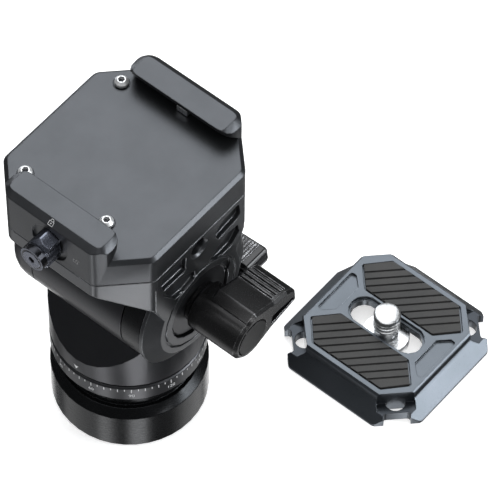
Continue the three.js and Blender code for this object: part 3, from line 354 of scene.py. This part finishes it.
def slot_of(node):
    """The material slot that the record gives a node."""
    return frame["nodes"][node].material_slots[0].material.name


def finish_of(node):
    """The finish that a node is shown in."""
    return SHOWN_AS.get(node, slot_of(node))


def merged_copy(node):
    """The node's own mesh as a bmesh, with its loose triangles joined."""
    solid = bmesh.new()
    solid.from_mesh(frame["nodes"][node].data)
    bmesh.ops.remove_doubles(solid, verts=solid.verts, dist=LOOSE_MERGE)
    return solid


def show(name, solid, finish):
    """Makes an object with a finish from a bmesh in its real place."""
    mesh = bpy.data.meshes.new(name)
    solid.to_mesh(mesh)
    solid.free()
    mesh.materials.append(FINISHES[finish].material)
    piece = bpy.data.objects.new(name, mesh)
    bpy.context.scene.collection.objects.link(piece)
    return piece


def smooth(piece, hard_angle):
    """Shades the piece smooth, apart from its edges above the hard angle."""
    piece.data.shade_smooth()
    piece.data.set_sharp_from_angle(angle=hard_angle)


def cut_away(piece, cutter):
    """Cuts the bmesh cutter out of the piece for good."""
    mesh = bpy.data.meshes.new("cutter")
    bmesh.ops.recalc_face_normals(cutter, faces=cutter.faces)
    cutter.to_mesh(mesh)
    cutter.free()
    tool = bpy.data.objects.new("cutter", mesh)
    bpy.context.scene.collection.objects.link(tool)
    step = piece.modifiers.new("cut", "BOOLEAN")
    step.object = tool
    step.operation = "DIFFERENCE"
    step.solver = "EXACT"
    bpy.context.view_layer.update()
    shown = piece.evaluated_get(bpy.context.evaluated_depsgraph_get())
    done = bpy.data.meshes.new_from_object(shown)
    piece.modifiers.remove(step)
    old, piece.data = piece.data, done
    bpy.data.meshes.remove(old)
    bpy.data.objects.remove(tool)
    bpy.data.meshes.remove(mesh)


GRIP_COUNT = 8
GRIP_START = 10.0 * MM
GRIP_PITCH = 0.855 * MM
GRIP_RADIUS = 0.29 * MM
GRIP_SIDES = 16
GRIP_FROM = 14.5 * MM
GRIP_TO = 26.75 * MM
WING_DIP_X = 9.75 * MM
WING_DIP_Z = -45.13 * MM
WING_RISE = 0.074


def grip_cutter():
    """Rods along the pan knob's wing, each half sunk in its rising upper flank."""
    cutter = bmesh.new()
    for count in range(GRIP_COUNT):
        x = GRIP_START + count * GRIP_PITCH
        z = WING_DIP_Z + (x - WING_DIP_X) * WING_RISE
        rod = bmesh.ops.create_cone(cutter, cap_ends=True, segments=GRIP_SIDES, radius1=GRIP_RADIUS,
                                    radius2=GRIP_RADIUS, depth=GRIP_TO - GRIP_FROM)["verts"]
        bmesh.ops.rotate(cutter, verts=rod, matrix=Matrix.Rotation(math.pi / 2, 3, "X"))
        bmesh.ops.translate(cutter, verts=rod, vec=(x, (GRIP_FROM + GRIP_TO) / 2, z))
    return cutter


CUTTERS = {"pan_lock_knob": grip_cutter}


def eased_piece(node, width):
    """The node's own solid with its flats made whole and every hard edge eased by the width."""
    solid = merged_copy(node)
    bmesh.ops.dissolve_limit(solid, angle_limit=FLAT_ANGLE, use_dissolve_boundaries=False,
                             verts=solid.verts, edges=solid.edges, delimit=set())
    piece = show(node + "_eased", solid, finish_of(node))
    if node in CUTTERS:
        cut_away(piece, CUTTERS[node]())
    smooth(piece, CASING_ANGLE)
    bevel = piece.modifiers.new("eased_edges", "BEVEL")
    bevel.width = width
    bevel.segments = EASED_STEPS
    bevel.limit_method = "ANGLE"
    bevel.angle_limit = CASING_ANGLE
    bevel.harden_normals = True
    bevel.use_clamp_overlap = True
    bevel.miter_outer = "MITER_ARC"
    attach(piece, body_of_node[node])
    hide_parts(node)


EASED_MM = {
    "base_shell": 0.12, "scale_ring": 0.10, "pan_body": 0.14, "barrel_cap_left": 0.10,
    "barrel_collar_right": 0.10, "saddle_cheek": 0.28, "clamp_plate": 0.18,
    "tilt_lock_knob": 0.20, "pan_lock_knob": 0.10, "tilt_lock_inlay": 0.08, "pan_lock_inlay": 0.08,
    "clamp_lever": 0.12, "lever_cap": 0.06, "jaw_bar": 0.06, "release_trigger": 0.06,
    "clamp_screw_1": 0.06, "clamp_screw_2": 0.06, "clamp_screw_3": 0.06,
    "plate_body": 0.10, "pad_back": 0.08, "pad_front": 0.08,
}
for node, width in EASED_MM.items():
    eased_piece(node, width * MM)

for node, cad_object in frame["nodes"].items():
    material = FINISHES[finish_of(node)].material
    cad_object.data.materials.clear()
    cad_object.data.materials.append(material)

# Markings: thin paint that lies on the metal.

PAINT_THICK = 0.03 * MM
PAINT_PROUD = 0.012 * MM
SCALE_STEP = 5
FIGURE_STEP = 30
SCALE_ZERO = math.radians(-137.5)
TICK_WIDE = 0.20 * MM
TICK_LONG = ((30, 1.25 * MM), (10, 1.05 * MM), (SCALE_STEP, 0.70 * MM))
TICK_DROP = 0.45 * MM
FIGURE_HIGH = 1.45 * MM
FIGURE_DROP = 2.95 * MM
FIGURE_STEPS = 3


def add_piece(name, solid, finish, body, hard_angle=PIECE_ANGLE):
    """Makes a piece from a bmesh in its real place, with its finish, and lets it ride on a body."""
    bmesh.ops.recalc_face_normals(solid, faces=solid.faces)
    piece = show(name, solid, finish)
    smooth(piece, hard_angle)
    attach(piece, body)
    return piece


def curve_solid(curve):
    """A text or flat curve as a merged bmesh in its own plane."""
    holder = bpy.data.objects.new("curve_holder", curve)
    bpy.context.scene.collection.objects.link(holder)
    bpy.context.view_layer.update()
    shown = holder.evaluated_get(bpy.context.evaluated_depsgraph_get())
    mesh = bpy.data.meshes.new_from_object(shown)
    solid = bmesh.new()
    solid.from_mesh(mesh)
    bpy.data.objects.remove(holder)
    bpy.data.curves.remove(curve)
    bpy.data.meshes.remove(mesh)
    bmesh.ops.remove_doubles(solid, verts=solid.verts, dist=FINE_MERGE)
    return solid


def figure(text):
    """A figure of the degree scale, centred in its own plane."""
    curve = bpy.data.curves.new("figure", "FONT")
    curve.body = text
    curve.size = FIGURE_HIGH
    curve.align_x = "CENTER"
    curve.align_y = "CENTER"
    curve.extrude = PAINT_THICK / 2
    curve.resolution_u = FIGURE_STEPS
    return curve_solid(curve)


def flat_shape(outlines):
    """A painted shape: the outer outlines and the holes in them as closed lists of points."""
    curve = bpy.data.curves.new("shape", "CURVE")
    curve.dimensions = "2D"
    curve.fill_mode = "BOTH"
    curve.extrude = PAINT_THICK / 2
    for outline in outlines:
        line = curve.splines.new("POLY")
        line.points.add(len(outline) - 1)
        for point, (u, v) in zip(line.points, outline):
            point.co = (u, v, 0.0, 1.0)
        line.use_cyclic_u = True
    return curve_solid(curve)


def add_solid(target, source):
    """Adds one bmesh to another and frees it."""
    mesh = bpy.data.meshes.new("part")
    source.to_mesh(mesh)
    source.free()
    target.from_mesh(mesh)
    bpy.data.meshes.remove(mesh)


def wrap_round(solid, radius, start):
    """Bends a flat strip, drawn along X with its height in Y, round the pan axis."""
    for v in solid.verts:
        angle = start + v.co.x / radius
        out = radius + v.co.z
        v.co = (out * math.cos(angle), out * math.sin(angle), v.co.y)


def degree_marks():
    """The ticks of the degree ring, with a figure at every 30 degrees."""
    low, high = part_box("scale_ring")
    radius = (high.x - low.x) / 2
    marks = bmesh.new()
    for degree in range(0, 360, SCALE_STEP):
        along = math.radians(degree) * radius
        long = next(size for step, size in TICK_LONG if degree % step == 0)
        tick = bmesh.new()
        bmesh.ops.create_cube(tick, size=1.0)
        bmesh.ops.scale(tick, vec=(TICK_WIDE, long, PAINT_THICK), verts=tick.verts)
        bmesh.ops.translate(tick, vec=(along, high.z - TICK_DROP - long / 2, 0), verts=tick.verts)
        add_solid(marks, tick)
        if degree % FIGURE_STEP == 0:
            text = figure(str(degree))
            bmesh.ops.translate(text, vec=(along, high.z - FIGURE_DROP, 0), verts=text.verts)
            add_solid(marks, text)
    bmesh.ops.translate(marks, vec=(0, 0, PAINT_PROUD), verts=marks.verts)
    wrap_round(marks, radius, SCALE_ZERO)
    add_piece("degree_marks", marks, "paint", body_of_node["scale_ring"])


POINTER_WIDE = 1.35 * MM
POINTER_HIGH = 1.35 * MM
POINTER_NOTCH = 0.55
POINTER_MIDDLE = -58.6 * MM
POINTER_WAY = math.radians(-90.0)


def pan_pointer():
    """The notched arrow head on the pan body, above the degree ring."""
    low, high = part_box("pan_body")
    radius = (high.x - low.x) / 2
    half, top = POINTER_WIDE / 2, POINTER_HIGH / 2
    shape = flat_shape([[(-half, top), (0, top * POINTER_NOTCH), (half, top), (0, -top)]])
    bmesh.ops.translate(shape, vec=(0, POINTER_MIDDLE, PAINT_PROUD), verts=shape.verts)
    wrap_round(shape, radius, POINTER_WAY)
    add_piece("pan_pointer", shape, "paint", "pan")


CORNER_STEPS = 4
DOT_SIDES = 12
BOW_STEPS = 8
LOCK_HALF_WIDE = 0.68 * MM
LOCK_HALF_HIGH = LOCK_HALF_WIDE * 0.82
LOCK_STROKE = 0.15 * MM
LOCK_CORNER = 0.16 * MM
LOCK_INNER_CORNER = 0.08 * MM
LOCK_DOT = 0.18 * MM
BOW_RADIUS = LOCK_HALF_WIDE * 0.62
BOW_MIDDLE = LOCK_HALF_WIDE * 1.05
BOW_SWING = LOCK_HALF_WIDE * 0.95


def arc(middle, radius, start, end, steps):
    """Points on an arc from one angle to another, in degrees."""
    points = []
    for i in range(steps + 1):
        angle = math.radians(start + (end - start) * i / steps)
        points.append((middle[0] + radius * math.cos(angle), middle[1] + radius * math.sin(angle)))
    return points


def rounded_box(half_u, half_v, radius):
    """The outline of a box with round corners."""
    points = []
    for u, v, start in ((1, 1, 0), (-1, 1, 90), (-1, -1, 180), (1, -1, 270)):
        corner = (u * (half_u - radius), v * (half_v - radius))
        points += arc(corner, radius, start, start + 90, CORNER_STEPS)
    return points


def padlock(is_open):
    """A plain padlock sign: rounded body with a keyhole dot, and its shackle closed or swung out."""
    body = rounded_box(LOCK_HALF_WIDE, LOCK_HALF_HIGH, LOCK_CORNER)
    inside = rounded_box(LOCK_HALF_WIDE - LOCK_STROKE, LOCK_HALF_HIGH - LOCK_STROKE, LOCK_INNER_CORNER)
    dot = arc((0, 0), LOCK_DOT, 0, 360 - 360 / DOT_SIDES, DOT_SIDES - 1)
    shift = BOW_SWING if is_open else 0.0
    middle = (shift, BOW_MIDDLE)
    inner = BOW_RADIUS - LOCK_STROKE
    shackle = [(shift + BOW_RADIUS, LOCK_HALF_HIGH)]
    shackle += arc(middle, BOW_RADIUS, 0, 180, BOW_STEPS)
    shackle += [(shift - BOW_RADIUS, LOCK_HALF_HIGH), (shift - inner, LOCK_HALF_HIGH)]
    shackle += arc(middle, inner, 180, 0, BOW_STEPS)
    shackle += [(shift + inner, LOCK_HALF_HIGH)]
    sign = flat_shape([body, inside, dot])
    add_solid(sign, flat_shape([shackle]))
    return sign


def place_on(solid, middle, along, up):
    """Sets a flat shape on a face of the head: its X runs along, its Y up the face."""
    along, up = Vector(along).normalized(), Vector(up).normalized()
    out = along.cross(up)
    turn = Matrix((along, up, out)).transposed().to_4x4()
    spot = Vector(middle) + out * PAINT_PROUD
    bmesh.ops.transform(solid, matrix=Matrix.Translation(spot) @ turn, verts=solid.verts)


RAIL_BEVEL_WIDE = 1.6 * MM
RAIL_BEVEL_HIGH = 1.3 * MM
LOCKED_X = 0.2 * MM
LOCKED_IN = RAIL_BEVEL_WIDE * 0.38
LOCKED_DOWN = RAIL_BEVEL_HIGH * 0.62
UNLOCKED_X = 7.4 * MM
UNLOCKED_Z = -2.8 * MM


def lock_signs():
    """The shut padlock on the bevel of the front rail, and the open one on its front face."""
    low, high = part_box("clamp_plate")
    shut = padlock(is_open=False)
    rise = (0, RAIL_BEVEL_WIDE, RAIL_BEVEL_HIGH)
    place_on(shut, (LOCKED_X, low.y + LOCKED_IN, high.z - LOCKED_DOWN), (1, 0, 0), rise)
    add_piece("sign_locked", shut, "paint", "tilt")
    swung = padlock(is_open=True)
    place_on(swung, (UNLOCKED_X, low.y, UNLOCKED_Z), (1, 0, 0), (0, 0, 1))
    add_piece("sign_unlocked", swung, "faint_paint", "tilt")


degree_marks()
pan_pointer()
lock_signs()

# Threads, the trigger's spring and painted shade in the groove round the lever's cap.

THREAD_PITCH = 1.27 * MM
HALF_FOOT = THREAD_PITCH * 0.40
HALF_CREST = THREAD_PITCH * 0.15
THREAD_FADE = THREAD_PITCH * 0.45
STEPS_A_TURN = 32
TURNED_STEPS = 48


def thread_ridge(root, crest, low, high):
    """The ridge of a screw thread round the Z axis, fading out at both ends."""
    ridge = bmesh.new()
    corners = [ridge.verts.new((r, 0, low + h)) for r, h in (
        (root, -HALF_FOOT), (crest, -HALF_CREST), (crest, HALF_CREST), (root, HALF_FOOT))]
    loop = [ridge.edges.new(pair) for pair in zip(corners, corners[1:] + corners[:1])]
    turns = (high - low) / THREAD_PITCH
    steps = int(turns * STEPS_A_TURN)
    bmesh.ops.spin(ridge, geom=corners + loop, cent=(0, 0, 0), axis=(0, 0, 1),
                   dvec=(0, 0, (high - low) / steps), angle=turns * 2 * math.pi, steps=steps,
                   use_merge=False, use_duplicate=False)
    ends = [e for e in ridge.edges if e.is_boundary]
    bmesh.ops.holes_fill(ridge, edges=ends, sides=len(corners))
    for v in ridge.verts:
        from_low = (v.co.z - low + HALF_FOOT) / THREAD_FADE
        from_high = (high + HALF_FOOT - v.co.z) / THREAD_FADE
        share = max(0.0, min(1.0, from_low, from_high))
        reach = v.co.xy.length
        wanted = root + (reach - root) * share
        v.co.x *= wanted / reach
        v.co.y *= wanted / reach
    return ridge


def turned(profile):
    """A solid of revolution round the Z axis from points of radius and height."""
    solid = bmesh.new()
    points = [solid.verts.new((r, 0, h)) for r, h in profile]
    lines = [solid.edges.new(pair) for pair in zip(points, points[1:])]
    bmesh.ops.spin(solid, geom=points + lines, cent=(0, 0, 0), axis=(0, 0, 1), angle=2 * math.pi,
                   steps=TURNED_STEPS, use_merge=True)
    bmesh.ops.remove_doubles(solid, verts=solid.verts, dist=FINE_MERGE)
    return solid


CAMERA_MAJOR = 3.17 * MM
CAMERA_MINOR = 2.50 * MM
STUD_HEAD_HIGH = 2.1 * MM
STUD_EDGE = 0.25 * MM
STUD_NECK = 2.45 * MM
STUD_FLARE = 0.8 * MM
STUD_FLARE_BEND = STUD_FLARE * 0.35
STUD_THREAD_START = 5.3 * MM
STUD_CAP_LONG = 1.45 * MM
STUD_TIP = ((0.0, 0.50 * MM), (0.15 * MM, 0.2 * MM), (0.5 * MM, 0.0))
THREAD_SUNK = 0.05 * MM
THREAD_PAST_NECK = 0.3 * MM
THREAD_BELOW_CAP = 0.1 * MM
COIN_SLOT_WIDE = 1.4 * MM
COIN_SLOT_DEEP = 1.0 * MM
COIN_SLOT_REACH = 3


def camera_stud():
    """The camera screw with its real thread; its head keeps the coin slot on the underside."""
    low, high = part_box("camera_screw")
    middle = (low + high) / 2
    tall = high.z - low.z
    head = (high.x - low.x) / 2
    cap_low = tall - STUD_CAP_LONG
    stud = turned([
        (0, 0), (head - STUD_EDGE, 0), (head, STUD_EDGE), (head, STUD_HEAD_HIGH - STUD_EDGE),
        (head - STUD_EDGE, STUD_HEAD_HIGH), (STUD_NECK + STUD_FLARE, STUD_HEAD_HIGH),
        (STUD_NECK + STUD_FLARE_BEND, STUD_HEAD_HIGH + STUD_FLARE_BEND),
        (STUD_NECK, STUD_HEAD_HIGH + STUD_FLARE), (STUD_NECK, STUD_THREAD_START - STUD_EDGE),
        (CAMERA_MINOR, STUD_THREAD_START), (CAMERA_MINOR, cap_low - STUD_EDGE),
        (CAMERA_MAJOR, cap_low + STUD_EDGE / 2),
        *((CAMERA_MAJOR - inwards, tall - down) for inwards, down in STUD_TIP), (0, tall)])
    place = Vector((middle.x, middle.y, low.z))
    bmesh.ops.translate(stud, vec=place, verts=stud.verts)
    piece = add_piece("camera_stud", stud, "steel", body_of_node["camera_screw"])
    slot = bmesh.new()
    bmesh.ops.create_cube(slot, size=1.0)
    size = (head * COIN_SLOT_REACH, COIN_SLOT_WIDE, COIN_SLOT_DEEP * 2)
    bmesh.ops.scale(slot, vec=size, verts=slot.verts)
    bmesh.ops.translate(slot, vec=place, verts=slot.verts)
    cut_away(piece, slot)
    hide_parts("camera_screw")
    ridge = thread_ridge(CAMERA_MINOR - THREAD_SUNK, CAMERA_MAJOR,
                         STUD_THREAD_START + THREAD_PAST_NECK, cap_low - THREAD_BELOW_CAP)
    bmesh.ops.translate(ridge, vec=place, verts=ridge.verts)
    thread = add_piece("camera_stud_thread", ridge, "steel", body_of_node["camera_screw"], THREAD_ANGLE)


def pressed_spring():
    """A copy of the trigger's spring, riding on its body in place of the node."""
    coil = merged_copy("trigger_spring")
    piece = add_piece("trigger_coil", coil, "steel", body_of_node["trigger_spring"])
    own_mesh(piece)
    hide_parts("trigger_spring")


SHADE_RING_FROM = 0.02 * MM
SHADE_RING_TO = 0.28 * MM


def cap_groove():
    """Painted shade for the groove round the cap in the lever's hub: a thin dark ring on its face."""
    low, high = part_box("lever_cap")
    middle = (low + high) / 2
    cap = (high.x - low.x) / 2
    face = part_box("clamp_lever")[0].y
    inner, outer = cap + SHADE_RING_FROM, cap + SHADE_RING_TO
    ring = turned([(inner, 0), (outer, 0), (outer, PAINT_THICK), (inner, PAINT_THICK), (inner, 0)])
    turn = Matrix.Rotation(math.pi / 2, 4, "X")
    spot = Vector((middle.x, face + PAINT_THICK / 2, middle.z))
    bmesh.ops.transform(ring, matrix=Matrix.Translation(spot) @ turn, verts=ring.verts)
    # The ring is dark knob finish laid on the face: painted shade in the groove.
    add_piece("lever_cap_shade_ring", ring, "knob", body_of_node["lever_cap"])


BUSH_ROOT = 3.02 * MM
BUSH_CREST = 2.6 * MM
BUSH_END = 0.4 * MM


def bush_thread():
    """The inner thread of the adapter bush, standing inwards from its bore."""
    low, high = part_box("adapter_bush")
    ridge = thread_ridge(BUSH_ROOT, BUSH_CREST, low.z + BUSH_END, high.z - BUSH_END)
    piece = add_piece("bush_thread", ridge, "brass", body_of_node["adapter_bush"])


camera_stud()
pressed_spring()
cap_groove()
bush_thread()

# Stage and light.

WHITE = (1.0, 1.0, 1.0)
FLOOR_COLOUR = (0.88, 0.88, 0.88)
FLOOR_OTHER = tuple(v * 0.985 for v in FLOOR_COLOUR)
FLOOR_CLOUD_SCALE = 3.0
FLOOR_CLOUD_DETAIL = 2.0
FLOOR_CLOUD_SPAN = (0.3, 0.7)
FLOOR_ROUGHNESS = 0.9
FLOOR_GLOW = 0.60
FLOOR_HALF = 4.0
FLOOR_DROP = 0.05 * MM


def floor_finish():
    finish = Finish("floor_white")
    cloud = finish.remap(finish.noise(FLOOR_CLOUD_SCALE, FLOOR_CLOUD_DETAIL), FLOOR_CLOUD_SPAN)
    finish.feed(finish.mix(cloud, FLOOR_COLOUR, FLOOR_OTHER), finish.shader, "Base Color")
    finish.feed(FLOOR_ROUGHNESS, finish.shader, "Roughness")
    finish.feed(WHITE, finish.shader, "Emission Color")
    finish.feed(FLOOR_GLOW, finish.shader, "Emission Strength")
    return finish.material


def make_stage():
    low = cad_box[0]
    floor = bmesh.new()
    bmesh.ops.create_grid(floor, x_segments=1, y_segments=1, size=FLOOR_HALF)
    bmesh.ops.translate(floor, verts=floor.verts, vec=(0, 0, low.z - FLOOR_DROP))
    mesh = bpy.data.meshes.new("floor")
    floor.to_mesh(mesh)
    floor.free()
    mesh.materials.append(floor_finish())
    stage = bpy.data.objects.new("floor", mesh)
    bpy.context.scene.collection.objects.link(stage)
    stage.visible_glossy = False
    stage.visible_shadow = False


LIT_MIDDLE = (0.005, 0.0, -0.035)
SKY_COLOUR = (0.96, 0.98, 1.0)
SKY_STRENGTH = 0.13

# Each soft box has its direction, its distance, its two sides, its brightness and its colour.

SOFT_BOXES = {
    "top_back_box": ((-0.36, 0.44, 0.82), 1.2, (1.0, 1.0), 3.5, (0.97, 0.99, 1.0)),
    "right_back_box": ((0.82, 0.44, 0.36), 1.1, (0.46, 0.40), 11.0, (0.95, 0.98, 1.0)),
    "left_back_box": ((-0.88, 0.44, 0.02), 1.1, (0.30, 0.26), 8.0, (0.92, 0.95, 1.0)),
    "front_fill": ((-0.37, -0.76, 0.60), 1.2, (0.90, 0.32), 0.26, WHITE),
    "overhead_box": ((0.1, -0.25, 1.0), 1.5, (1.3, 1.3), 1.3, WHITE),
    "right_strip": ((0.945, -0.12, 0.32), 1.1, (0.10, 0.30), 9.0, WHITE),
    "left_front_strip": ((-0.36, -0.50, 0.80), 1.1, (0.45, 0.10), 3.0, WHITE),
    "low_front_box": ((-0.36, -0.44, -0.82), 0.8, (0.45, 0.45), 0.60, WHITE),
    "low_left_strip": ((0.03, -0.57, -0.82), 0.8, (0.14, 0.50), 2.6, WHITE),
    "low_corner_box": ((0.44, -0.36, -0.82), 0.8, (0.18, 0.36), 3.9, WHITE),
    "low_right_box": ((0.36, 0.44, -0.82), 0.8, (0.36, 0.36), 0.72, WHITE),
    "low_back_box": ((-0.36, 0.44, -0.82), 0.8, (0.50, 0.50), 1.8, WHITE),
}


def soft_box(name, way, distance, size, brightness, colour):
    """An area light that faces the head, with its brightness given per area and angle."""
    data = bpy.data.lights.new(name, "AREA")
    data.shape = "RECTANGLE"
    data.size, data.size_y = size
    data.energy = brightness * math.pi * (size[0] * size[1])
    data.color = colour
    lamp = bpy.data.objects.new(name, data)
    bpy.context.scene.collection.objects.link(lamp)
    place = Vector(LIT_MIDDLE) + Vector(way).normalized() * distance
    lamp.location = place
    lamp.rotation_mode = "QUATERNION"
    lamp.rotation_quaternion = (Vector(LIT_MIDDLE) - place).to_track_quat("-Z", "Y")


def make_lights():
    world = bpy.data.worlds.new("studio")
    bpy.context.scene.world = world
    world.use_nodes = True
    sky = world.node_tree.nodes["Background"]
    sky.inputs["Color"].default_value = (*SKY_COLOUR, 1.0)
    sky.inputs["Strength"].default_value = SKY_STRENGTH
    for name, values in SOFT_BOXES.items():
        soft_box(name, *values)
    bpy.context.scene.view_settings.view_transform = "Standard"


make_stage()
make_lights()
